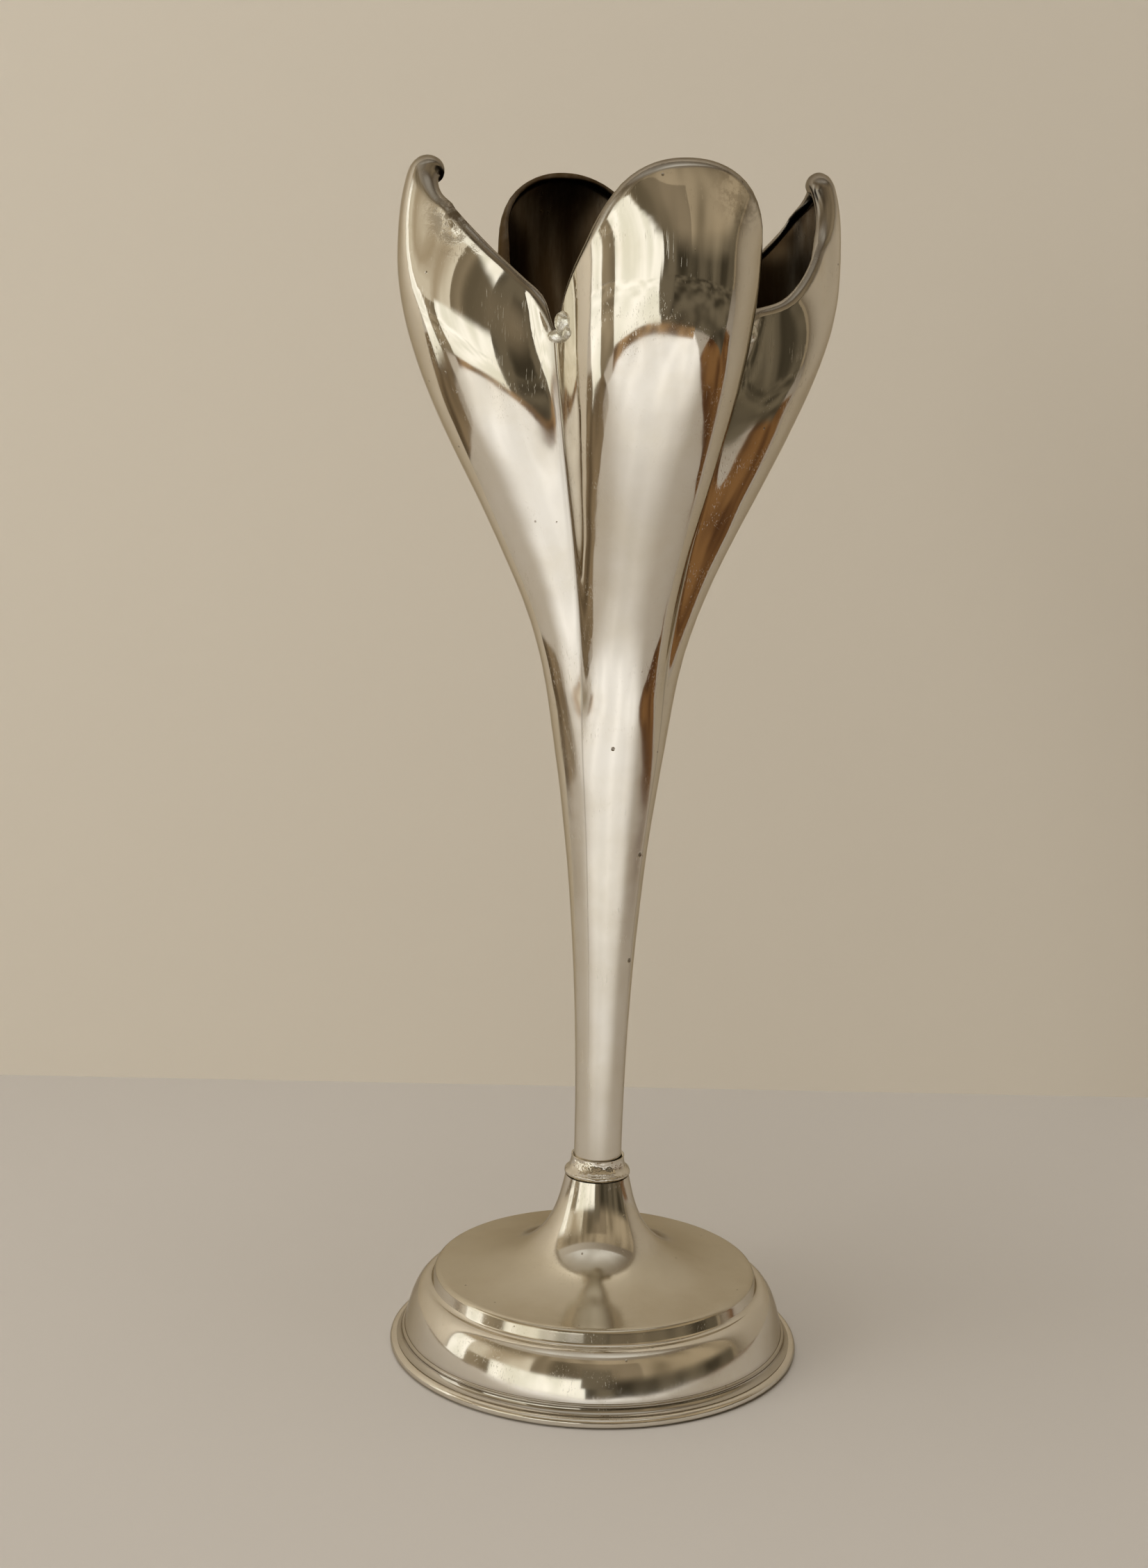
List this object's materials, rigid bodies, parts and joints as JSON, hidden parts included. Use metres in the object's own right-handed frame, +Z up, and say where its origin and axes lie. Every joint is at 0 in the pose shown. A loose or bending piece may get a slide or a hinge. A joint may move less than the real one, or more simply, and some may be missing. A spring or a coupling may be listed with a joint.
{
  "type": "bud vase",
  "caption": "Tulip-shaped metal bud vase: stamped petals with curled tips on a slender hollow stem, bead collar and spun, loaded round foot; holds a flower stem.",
  "frame": {"origin": "centre of the face that the vase stands on, on the axis of the stem", "axes": "+Z up the stem; the front petal points to -Y and the right petal to +X"},
  "size_m": [0.074, 0.074, 0.2016],
  "materials": {
    "polished_silver": "worn mirror polish, warm old silver plate",
    "satin_silver": "satin on the top plate, polished on the mouldings",
    "solder": "dull grey lump",
    "tinned_plate": "dull tinned sheet",
    "loading": "cast pitch",
    "baize": "felted wool cloth"
  },
  "bodies": {
    "root": {"petal_front": "polished_silver", "petal_right": "polished_silver", "petal_back": "polished_silver", "petal_left": "polished_silver", "solder_front_right": "solder", "solder_right_back": "solder", "solder_back_left": "solder", "solder_left_front": "solder", "stem_floor": "tinned_plate", "collar": "polished_silver", "foot_shell": "satin_silver", "rim_wire": "polished_silver", "foot_loading": "loading", "base_plate": "tinned_plate", "baize_pad": "baize"}
  },
  "joints": []
}
